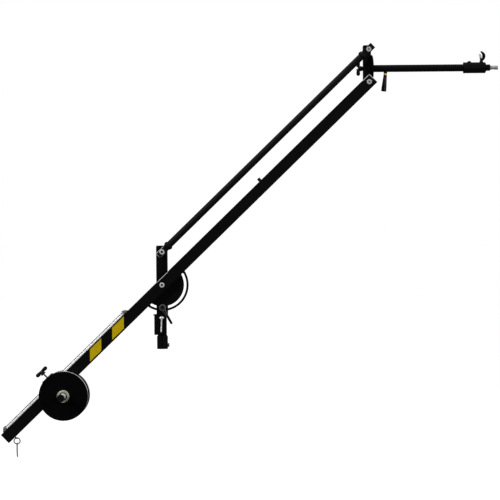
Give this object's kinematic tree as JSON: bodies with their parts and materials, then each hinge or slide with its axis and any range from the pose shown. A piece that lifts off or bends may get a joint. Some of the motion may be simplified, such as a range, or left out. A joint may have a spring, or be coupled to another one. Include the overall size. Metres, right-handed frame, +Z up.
{
  "type": "boom arm",
  "caption": "Counterweighted boom arm for a lighting stand: box beam tilting on a swivel post, parallel link that keeps the head upright, and a rolling arm ending in a spigot.",
  "frame": {"origin": "centre of the mouth of the stand socket, on the swivel's vertical axis", "axes": "+Z up along the swivel axis, +X towards the load end of the arm, +Y away from the beam, which runs in front of the post"},
  "size_m": [2.0032, 0.3246, 1.6467],
  "materials": {
    "black_paint": "satin black powder coat",
    "black_iron": "black enamelled cast iron",
    "black_plastic": "fine grained black moulding",
    "black_rubber": "matt black rubber",
    "bright_steel": "bright turned or plated steel",
    "dull_steel": "dull plated steel",
    "zinc": "yellowish zinc plated steel",
    "aluminium": "bright extruded aluminium",
    "brass": "plain turned brass",
    "nylon": "natural light grey nylon"
  },
  "bodies": {
    "stand": {"stand_socket": "black_paint", "swivel_spindle": "bright_steel", "spindle_nut": "dull_steel"},
    "socket_screw": {"socket_screw": "dull_steel"},
    "swivel": {"swivel_housing": "black_paint", "post": "black_paint", "post_cap": "black_plastic", "main_pivot_bolt": "bright_steel", "main_pivot_nut": "dull_steel", "main_thrust_washer": "dull_steel", "link_bolt_lower": "bright_steel", "link_nut_lower": "dull_steel", "link_spacer_lower": "black_paint", "brake_pad": "black_rubber", "brake_bolt": "dull_steel"},
    "pan_lever": {"pan_lever": "bright_steel"},
    "brake_lever": {"brake_lever": "black_plastic"},
    "boom": {"beam": "black_paint", "beam_rear_cap": "black_plastic", "quadrant_plate": "black_paint", "guide_rail": "aluminium", "rail_clip_rear": "zinc", "rail_clip_front": "zinc", "link_buffer": "black_rubber", "ring_lug": "dull_steel"},
    "carriage": {"carriage_bracket": "black_paint", "glide_top": "nylon", "glide_bottom": "nylon", "weight_axle": "bright_steel", "weight_disc_front": "black_iron", "weight_disc_rear": "black_iron", "axle_cap_front": "black_plastic", "axle_cap_rear": "black_plastic"},
    "carriage_knob": {"carriage_knob": "black_plastic", "carriage_screw": "dull_steel"},
    "hub_collar_front": {"hub_collar_front": "zinc"},
    "hub_collar_rear": {"hub_collar_rear": "zinc"},
    "link": {"link_tube": "black_paint", "link_end_lower": "black_paint", "link_end_upper": "black_paint"},
    "head": {"head_post": "black_paint", "head_pivot_bolt": "bright_steel", "head_pivot_nut": "dull_steel", "head_thrust_washer": "dull_steel", "link_bolt_upper": "bright_steel", "link_nut_upper": "dull_steel", "link_spacer_upper": "black_paint", "roll_flange": "black_paint"},
    "arm": {"arm_tube": "black_paint", "roll_stud": "bright_steel", "grip_ferrule": "brass", "end_socket": "black_paint", "end_bolt": "black_paint"},
    "grip": {"grip_handle": "black_plastic"},
    "head_knob": {"head_knob": "black_plastic"},
    "wing_screw": {"wing_screw": "black_paint"},
    "spigot": {"spigot": "bright_steel", "spigot_collar": "black_paint"},
    "pin_ring": {"pin_ring": "dull_steel"},
    "safety_pin": {"safety_pin": "dull_steel"}
  },
  "joints": [
    {"name": "socket_screw_turn", "type": "hinge", "parent": "stand", "child": "socket_screw", "pos_m": [0.018, 0, 0.0148], "axis": [1, 0, 0], "continuous": true},
    {"name": "pan", "type": "hinge", "parent": "stand", "child": "swivel", "pos_m": [0, 0, 0.0957], "axis": [0, 0, 1], "continuous": true},
    {"name": "pan_lever_turn", "type": "hinge", "parent": "swivel", "child": "pan_lever", "pos_m": [-0.001, -0.0223, 0.1258], "axis": [0, -1, 0], "range_deg": [-60, 60]},
    {"name": "brake_lever_turn", "type": "hinge", "parent": "swivel", "child": "brake_lever", "pos_m": [0.003, -0.0274, 0.1665], "axis": [0, -1, 0], "range_deg": [-70, 10]},
    {"name": "boom_tilt", "type": "hinge", "parent": "swivel", "child": "boom", "pos_m": [0.003, -0.0474, 0.2577], "axis": [0, -1, 0], "range_deg": [-103.9, 16]},
    {"name": "link_swing", "type": "hinge", "parent": "swivel", "child": "link", "pos_m": [0.003, -0.0474, 0.3897], "axis": [0, -1, 0], "range_deg": [-103.9, 16]},
    {"name": "head_level", "type": "hinge", "parent": "boom", "child": "head", "pos_m": [0.8367, 0, 1.06139], "axis": [0, -1, 0], "range_deg": [-16, 103.9]},
    {"name": "carriage_slide", "type": "slide", "parent": "boom", "child": "carriage", "axis": [0.7199, 0, 0.694], "range_m": [-0.2, 0.24]},
    {"name": "carriage_knob_turn", "type": "hinge", "parent": "carriage", "child": "carriage_knob", "pos_m": [-0.47342, -0.0474, -0.09531], "axis": [-0.694, 0, 0.7199], "continuous": true},
    {"name": "hub_collar_front_turn", "type": "hinge", "parent": "carriage", "child": "hub_collar_front", "pos_m": [-0.39153, -0.1047, -0.18027], "axis": [0, -1, 0], "continuous": true},
    {"name": "hub_collar_rear_turn", "type": "hinge", "parent": "carriage", "child": "hub_collar_rear", "pos_m": [-0.39153, 0.0099, -0.18027], "axis": [0, -1, 0], "continuous": true},
    {"name": "arm_roll", "type": "hinge", "parent": "head", "child": "arm", "pos_m": [0.8367, 0, 1.12059], "axis": [1, 0, 0], "continuous": true},
    {"name": "head_knob_turn", "type": "hinge", "parent": "arm", "child": "head_knob", "pos_m": [0.8159, 0, 1.12059], "axis": [1, 0, 0], "continuous": true},
    {"name": "grip_turn", "type": "hinge", "parent": "arm", "child": "grip", "pos_m": [0.9068, 0, 1.10659], "axis": [0.1045, 0, 0.9945], "continuous": true},
    {"name": "wing_screw_turn", "type": "hinge", "parent": "arm", "child": "wing_screw", "pos_m": [1.2925, 0, 1.14209], "axis": [0, 0, 1], "continuous": true},
    {"name": "spigot_pull", "type": "slide", "parent": "arm", "child": "spigot", "axis": [1, 0, 0], "range_m": [0, 0.03]},
    {"name": "ring_swing", "type": "hinge", "parent": "boom", "child": "pin_ring", "pos_m": [-0.58281, -0.0474, -0.35286], "axis": [0, -1, 0], "range_deg": [-16, 103.9]},
    {"name": "pin_swing", "type": "hinge", "parent": "pin_ring", "child": "safety_pin", "pos_m": [-0.58281, -0.0474, -0.37336], "axis": [1, 0, 0], "range_deg": [-30, 30]}
  ],
  "couplings": [
    {"joint": "link_swing", "follows": "boom_tilt", "ratio": 1},
    {"joint": "head_level", "follows": "boom_tilt", "ratio": -1}
  ]
}
